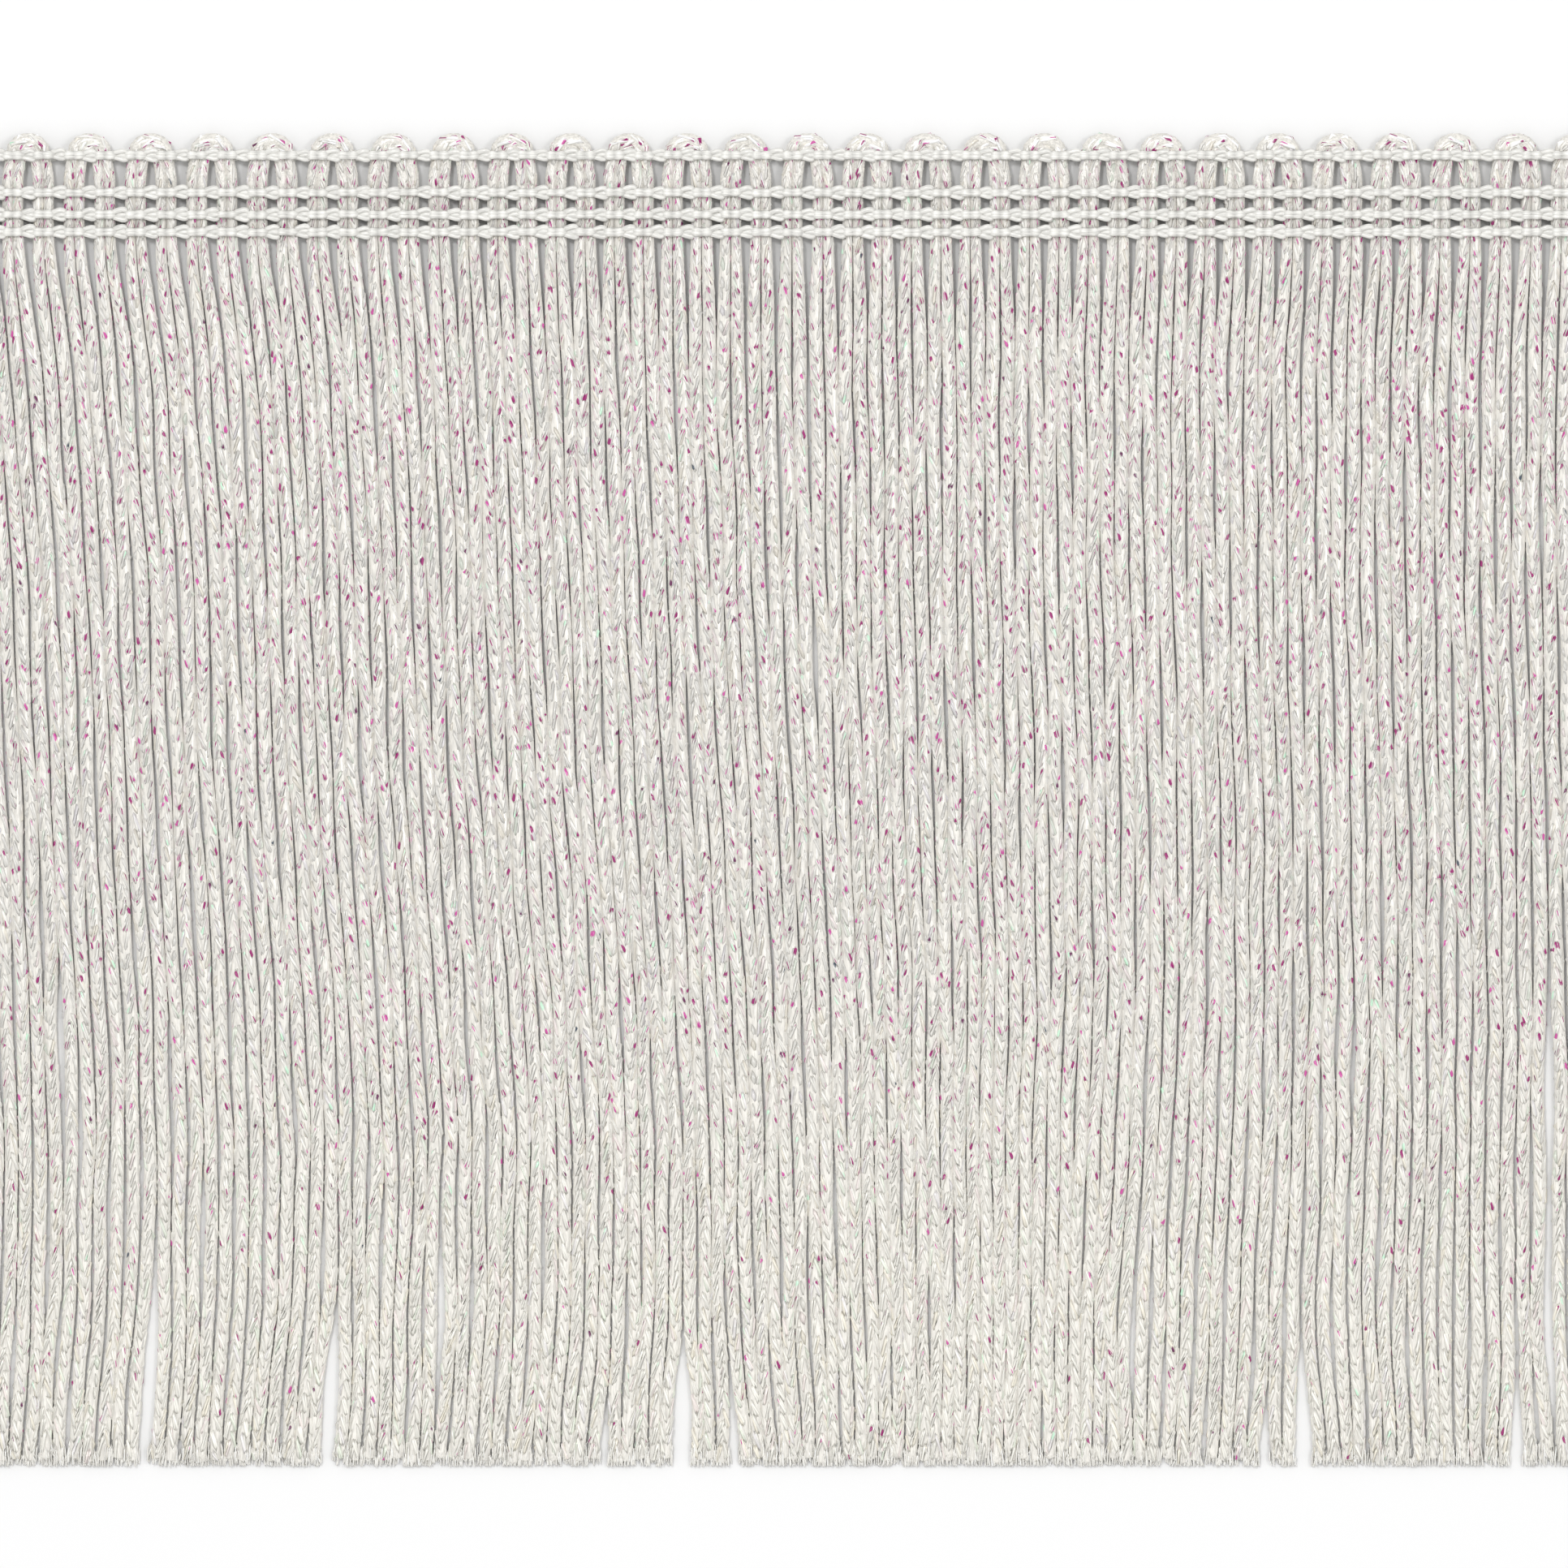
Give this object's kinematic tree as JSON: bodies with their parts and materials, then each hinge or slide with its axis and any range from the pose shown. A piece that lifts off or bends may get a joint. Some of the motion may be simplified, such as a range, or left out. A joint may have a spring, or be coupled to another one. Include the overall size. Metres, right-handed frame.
{
  "type": "chainette fringe trim",
  "caption": "Cut length of white chainette fringe trim lying flat: a loop-edged heading bound by knitted chains, with long cords hanging from it.",
  "frame": {"origin": "on the surface that the trim lies on, under the middle of the whole trim", "axes": "+X along the trim, +Y from the cut fringe ends up to the loops of the heading, +Z from the back of the trim to its face"},
  "size_m": [0.1938, 0.1524, 0.0029],
  "materials": {
    "chainette_cord": "lustrous translucent white yarn with scattered magenta glints",
    "binding_yarn": "satin white multifilament yarn"
  },
  "bodies": {
    "root": {"fringe": "chainette_cord", "chain_top": "binding_yarn", "chain_upper": "binding_yarn", "chain_middle": "binding_yarn", "chain_lower": "binding_yarn"}
  },
  "joints": []
}
